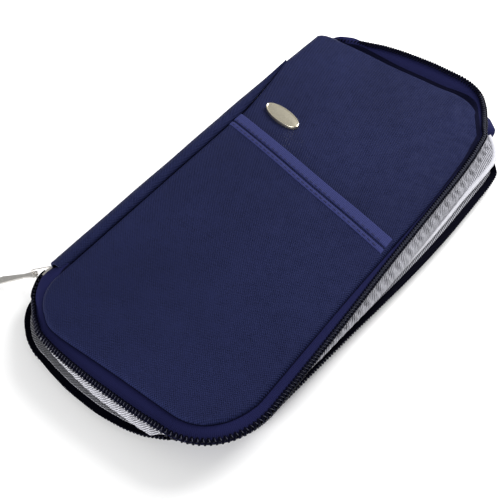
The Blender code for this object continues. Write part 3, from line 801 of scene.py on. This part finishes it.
def spine_band(name, near, far, section, count=160, narrows=False):
    """A band rolled over the spine, with square sewn ends. section is (x, z) pairs round its closed outline.
    A band that narrows runs out along its outer edge at the far end."""
    section = np.array(section, float)
    run = np.concatenate([[near, near], np.linspace(near, far, count), [far, far]])
    scale = np.ones(len(run))
    scale[0] = scale[-1] = 0.2
    scale[1] = scale[-2] = 0.92
    centre = section.mean(0)
    ripple = 0.06 * np.sin(run / 6.3) + 0.05 * np.sin(run / 10.7)
    ring = centre + (section - centre)[None] * (scale + ripple * 0.3)[:, None, None]
    points = np.stack([ring[..., 0], np.broadcast_to(run[:, None], ring.shape[:2]), ring[..., 1]], -1)
    if narrows:
        gone = past_band(points[..., 1])
        points[..., 0] = BAND_EDGE + (points[..., 0] - BAND_EDGE) * (1 - 0.86 * gone)
        points[..., 2] -= 1.1 * gone * smoothstep(points[..., 2], 13, 17)
    faces = grid_faces(len(run), len(section), wrap=True) + caps(len(run), len(section))
    uv = paired(run[:, None], run_length(section))
    return make_mesh(name, points.reshape(-1, 3), faces, OXFORD, uv.reshape(-1, 2))


def thick_line(centre, thickness):
    """A closed outline round a line of (x, z) points."""
    centre = np.array(centre, float)
    t = np.linspace(0, 1, len(centre))
    fine = np.linspace(0, 1, 40)
    centre = smooth_through(np.column_stack([t, centre]), fine)
    slope = np.gradient(centre, axis=0)
    slope /= np.linalg.norm(slope, axis=1, keepdims=True)
    normal = np.stack([-slope[:, 1], slope[:, 0]], 1)
    taper = thickness / 2 * np.sqrt(np.clip(1 - (2 * fine - 1) ** 12, 0.05, 1))[:, None]
    return np.concatenate([centre + normal * taper, (centre - normal * taper)[::-1]])


BAND_EDGE = -0.7  # x of the upper band's outer side
# The bands' sections as (x, z): two middle lines, and the outline of the roll that closes the near end.
UPPER = ((-0.35, 9.7), (-0.6, 12.0), (BAND_EDGE, 14.6), (-0.2, 16.7), (1.5, 17.7), (3.0, 18.0), (4.4, 17.6),
         (5.3, 16.4), (5.4, 15.2))
LOWER = ((-0.35, 9.9), (-0.5, 7.5), (-0.45, 4.6), (0.0, 2.2), (1.2, 0.9), (3.2, 0.5), (5.2, 0.6), (6.6, 1.0),
         (7.4, 1.6))
ROLL = ((-0.1, 14.4), (-0.2, 15.2), (0.2, 16.3), (1.6, 17.2), (3.0, 17.5), (4.2, 17.2), (4.9, 16.3),
        (5.0, 15.2), (4.6, 14.6))
upper_band = spine_band("spine_band_upper", 33.2, 207.2, thick_line(UPPER, 1.0), narrows=True)
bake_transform(upper_band)
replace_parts(upper_band, "front_spine_binding")
settle(spine_band("spine_band_fold", 33.6, 37.0, ROLL, 12), "front_cover", "navy_oxford")
lower_band = spine_band("spine_band_lower", 34.0, 206.5, thick_line(LOWER, 1.0))
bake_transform(lower_band)
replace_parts(lower_band, "back_spine_binding", "spine_panel")
# Painted shade: a near-black strip under the cover's edge beside the spine band, standing in for the shadow
# in that groove.
lay("spine_painted_shade", *lattice(4.7, 7.6, 8, 31, 213, 120), LINING_TOP, 14.7, DARK_TAPE_AND_PAINTED_SHADE, "front_cover",
    "navy_oxford")
gz, gy = lattice(3.6, LINING_TOP, 12, 44, 200, 90)
inner = np.stack([0.45 + 0.1 * np.sin(gy / 9), gy, gz], -1)
outer = np.stack([0.05 + 0 * gy, gy, gz], -1)
lining = closed_sheet("spine_inner", inner, outer, TWILL, np.stack([gy, gz], -1))
settle(lining, "spine", "grey_lining", "spine_lining")


# ---------------------------------------------------------------- the inner page and pockets

FIRST_SLOT, SLOT_STEP, SLOT_HEIGHT = 40.0, 27.0, 24.5  # the card slots along the page


def leaf_bulge(y):
    """How far the page's free edge slides out past its resting place, with the wallet half unzipped."""
    return (7.0 * smoothstep(y, 30, 165) + 2.1 * smoothstep(y, 165, 198)) * smoothstep(y, 224, 198)


def leaf_droop(x, y):
    """How the page's free edge sinks along the open side and rises at the open corner."""
    return smoothstep(x, 92, 124) * (-1.2 * smoothstep(y, 40, 120) * smoothstep(y, 236, 205)
                                     + 3.6 * smoothstep(y, 165, 202) * smoothstep(y, 236, 216))


def leaf_grid(low_x, high_x, low_y, high_y, radius, columns=60, rows=110):
    """A page's grid with rounded free corners, pushed out where the zip gapes."""
    x = crowded(low_x, high_x, columns)
    corner = radius - np.sqrt(np.maximum(radius**2 - np.clip(x - (high_x - radius), 0, radius) ** 2, 0))
    # A page that is sewn to the spine is narrower there, which leaves room for the slider and the stops.
    tongue = 36 * smoothstep(x, 27, 15) if low_x < 9 else 0
    low, high = low_y + corner + tongue, high_y - corner - tongue
    y = low + (high - low) * crowded(0, 1, rows)[:, None]
    x = np.broadcast_to(x, y.shape) + leaf_bulge(y) * smoothstep(x, 60, 116)
    return x, y


def leaf_top(x, y):
    """The height of the page's upper side."""
    return 8.6 + leaf_droop(x, y) + 0.12 * np.sin(x / 11 + y / 19)


x, y = leaf_grid(4.2, 116, 11, 231, 26)
lay("leaf_page", x, y, leaf_top(x, y), leaf_top(x, y) - 0.7, TWILL, "leaf", "grey_lining", "leaf_panel")
edge_path = np.concatenate([np.stack([x[0], y[0]], 1)[20:], np.stack([x[1:, -1], y[1:, -1]], 1),
                            np.stack([x[-1], y[-1]], 1)[20:-1][::-1]])
edge_path = np.column_stack([edge_path, leaf_top(edge_path[:, 0], edge_path[:, 1]) - 0.35])


def piping(name, path, across, height, material, body, slot):
    """A folded edging along a path: an oval section that is across wide and height thick."""
    path = np.asarray(path, float)
    run = np.gradient(path, axis=0)
    run[:, 2] = 0
    run /= np.linalg.norm(run, axis=1, keepdims=True)
    side = np.stack([run[:, 1], -run[:, 0], 0 * run[:, 0]], 1)
    sides = 12
    angle = 2 * np.pi * np.arange(sides) / sides
    ring = path[:, None] + side[:, None] * (np.cos(angle) * across / 2)[None, :, None]
    ring[..., 2] += np.sin(angle) * height / 2
    faces = grid_faces(len(path), sides, wrap=True) + caps(len(path), sides)
    uv = paired(run_length(path)[:, None], angle * across / 4)
    return settle(make_mesh(name, ring.reshape(-1, 3), faces, material, uv.reshape(-1, 2)), body, slot)


piping("leaf_edge", edge_path, 2.3, 1.5, SATIN, "leaf", "grey_lining")
gx, gy = lattice(2.2, 4.6, 8, 50, 196, 80)
lay("leaf_hinge", gx, gy, 9.2 - 0.1 * (gx - 2.2), 7.4, BINDING, "leaf", "navy_binding", "leaf_spine_binding",
    uv=np.stack([gy, gx], -1))

x, y = leaf_grid(20, 112, 16, 120, 14)
base = leaf_top(x, y)
lay("leaf_back_pocket", x, y, base - 0.85, base - 1.35, TWILL, "leaf", "grey_lining", "leaf_pocket")
for k in range(1, 6):
    low = FIRST_SLOT + SLOT_STEP * (k - 1)
    x, y = leaf_grid(20, 108, low, low + SLOT_HEIGHT, 3, 50, 26)
    base = leaf_top(x, y)
    face = base + 0.55 + 0.1 * np.sin(y / 3)
    lay(f"card_slot_{k}_cloth", x, y, face, base + 0.1, TWILL, "leaf", "grey_lining", f"card_slot_{k}")
    lip = np.stack([x[-1], y[-1] - 0.6, base[-1] + 0.7], 1)[2:-2]
    piping(f"card_slot_{k}_lip", lip, 1.8, 0.9, SATIN, "leaf", "grey_lining")


def pocket_sheet(name, inset, far, bottom, thickness, material, body, slot, node):
    """A flat pocket sewn in near the short edge, open towards the far one. It lies on bottom, or hangs from
    it where its thickness is negative. Gives the line of its mouth."""
    outline = inset_outline(inset)
    x, y = outline.patch(far=lambda v: far + 0 * v, columns=60, rows=80, margin=0.3)
    depth, _ = outline.depth(x, y)
    swell = 0.25 * np.sin(x / 14) * np.sin(y / 21)
    face = bottom + thickness + swell * rolled(depth, 20, 1.0)
    if thickness > 0:
        top, low = np.maximum(face, bottom + 0.02), bottom
    else:
        top, low = bottom, np.minimum(face, bottom - 0.02)
    lay(name, x, y, top, low, material, body, slot, node)
    return np.stack([x[-1], y[-1], face[-1]], 1)[3:-3]


for name, inset, far, bottom, node, band, band_node in (
    ("boarding_pocket", 4, 192, 3.65, "boarding_pass_pocket", "boarding_pocket_band",
     "boarding_pocket_binding"),
    ("passport_sleeve", 8, 140, 4.35, "passport_pocket", "passport_band", "passport_pocket_binding"),
):
    mouth = pocket_sheet(name, inset, far, bottom, 0.4, TWILL, "back_cover", "grey_lining", node)
    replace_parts(piping(band, mouth, 3.6, 1.0, BINDING, "back_cover", "navy_binding"), band_node)
pocket_sheet("mesh_pouch", 6, 150, 14.2, -0.5, MESH, "front_cover", "mesh_grey", "mesh_pocket")

gx, gy = lattice(96, 110, 30, 147, 186, 60)
arch = 4.5 + 1.8 * np.sqrt(np.maximum(1 - ((gx - 103) / 7.05) ** 2, 0))
lay("pen_loop", gx, gy, arch, 4.3, MESH, "back_cover", "mesh_grey", "pen_sleeve")

POCKET_ZIP_Y, POCKET_ZIP_X, POCKET_TURNS = 155.2, 16, 58  # the mesh pocket's zip: its line, start and turns
gx, gy = lattice(13, 107, 90, 150.3, 160, 14)
low = 13.6 + 0.1 * np.cos((gy - POCKET_ZIP_Y) * 1.2)
lay("pocket_tape", gx, gy, 14.1, low, TAPE, "front_cover", "navy_tape", "pocket_zip_tape")
turns = np.linspace(0, POCKET_TURNS, POCKET_TURNS * TURN_POINTS + 1)
wound = np.stack([POCKET_ZIP_X + turns * TOOTH_PITCH, POCKET_ZIP_Y + 2.0 * np.cos(turns * 2 * np.pi),
                  13.1 + 0.35 * np.sin(turns * 2 * np.pi)], 1)[None]
coil = tubes("pocket_coil", wound, 0.4, COIL, np.broadcast_to([1.0, 0.0, 0.0], wound.shape))
settle(coil, "front_cover", "coil_nylon", "pocket_zip_coil")


# ---------------------------------------------------------------- metal

# The CAD's own metal parts, each with the width of its edges' rounding in millimetres.
for name, width in (
    ("zip_slider", 0.35), ("pull_link", 0), ("pull_tab", 0.3), ("pocket_zip_slider", 0.3),
    ("zip_bottom_stop", 0.2), ("back_top_stop", 0.2), ("front_top_stop", 0.2), ("badge_back_plate", 0),
):
    obj = bpy.data.objects[name]
    obj.data.materials.clear()
    obj.data.materials.append(NICKEL)
    if width:
        bevel = obj.modifiers.new("edges", "BEVEL")
        bevel.width, bevel.segments, bevel.limit_method = width * MM, 3, "ANGLE"

# The badge is an oval plate with a raised rim, turned like the pocket's mouth: half sizes, and the rim's
# profile as (share of the size, height).
BADGE_X, BADGE_Y, BADGE_LONG, BADGE_SHORT, BADGE_POINTS = 27.5, 165.5, 12.0, 4.5, 64
BADGE_PROFILE = ((1.0, 18.4), (1.0, 19.9), (0.97, 20.2), (0.92, 20.3), (0.86, 20.15), (0.82, 19.95),
                 (0.5, 20.1), (0.02, 20.2))
badge_turn = math.atan(MOUTH_FALL)
angle = np.linspace(0, 2 * np.pi, BADGE_POINTS, endpoint=False)
rings = []
for factor, z in BADGE_PROFILE:
    inset = BADGE_SHORT * (1 - factor)
    u, v = np.cos(angle) * (BADGE_LONG - inset), np.sin(angle) * (BADGE_SHORT - inset)
    rings.append(np.stack([BADGE_X + u * math.cos(badge_turn) - v * math.sin(badge_turn),
                           BADGE_Y + u * math.sin(badge_turn) + v * math.cos(badge_turn), z + 0 * u], 1))
faces = grid_faces(len(rings), BADGE_POINTS, wrap=True) + caps(len(rings), BADGE_POINTS)
plate = make_mesh("badge_plate", np.concatenate(rings), faces, GOLD, sharp=35)
settle(plate, "front_cover", "badge_gold", "badge")


# ---------------------------------------------------------------- floor, light and camera

FLOOR = 30  # metres from the middle to each side
floor_paint = Paint("white_paper", (0.93, 0.93, 0.93), 0.9, Specular_IOR_Level=0.1)
mesh = bpy.data.meshes.new("floor")
mesh.from_pydata([(-FLOOR, -FLOOR, 0), (FLOOR, -FLOOR, 0), (FLOOR, FLOOR, 0), (-FLOOR, FLOOR, 0)], [],
                 [(0, 1, 2, 3)])
floor = bpy.data.objects.new("floor", mesh)
mesh.materials.append(floor_paint.material)
bpy.context.scene.collection.objects.link(floor)

world = bpy.data.worlds.new("studio")
bpy.context.scene.world = world
world.use_nodes = True
sky = world.node_tree.nodes["Background"].inputs
sky["Color"].default_value = (1, 1, 1, 1)
sky["Strength"].default_value = 0.50


def area_light(name, where, target, size, power):
    """A round soft light, with its places and size in metres and its power in watts."""
    light = bpy.data.lights.new(name, "AREA")
    light.shape, light.size, light.energy = "DISK", size, power
    obj = bpy.data.objects.new(name, light)
    bpy.context.scene.collection.objects.link(obj)
    obj.location = where
    obj.rotation_euler = (Vector(target) - Vector(where)).to_track_quat("-Z", "Y").to_euler()


area_light("key", (0.13, 0.41, 0.35), (0.03, 0.05, 0), 0.45, 5.3)
area_light("fill", (-0.08, -0.8, 0.16), (0, 0, 0), 0.5, 10.0)

# The camera looks at a place on the table, from these angles in degrees and this distance in metres.
AZIMUTH, ELEVATION, ROLL = (math.radians(angle) for angle in (41.61, 48.77, -5.69))
CAMERA_TARGET, CAMERA_DISTANCE, CAMERA_LENS, SENSOR = Vector((-0.0044, -0.0239, 0)), 0.3534, 55.55, 36
level = math.cos(ELEVATION)
back_way = Vector((math.sin(AZIMUTH) * level, -math.cos(AZIMUTH) * level, math.sin(ELEVATION)))
across_way = Vector((0, 0, 1)).cross(back_way).normalized()
up_way = back_way.cross(across_way)
right_way = math.cos(ROLL) * across_way + math.sin(ROLL) * up_way
top_way = -math.sin(ROLL) * across_way + math.cos(ROLL) * up_way
lens = bpy.data.cameras.new("camera")
lens.lens, lens.sensor_width = CAMERA_LENS, SENSOR
lens.clip_start = 0.01
camera = bpy.data.objects.new("camera", lens)
camera.matrix_world = Matrix.Translation(CAMERA_TARGET + back_way * CAMERA_DISTANCE) @ Matrix(
    (right_way, top_way, back_way)).transposed().to_4x4()
bpy.context.scene.collection.objects.link(camera)
bpy.context.scene.camera = camera
bpy.context.scene.view_settings.view_transform = "Standard"
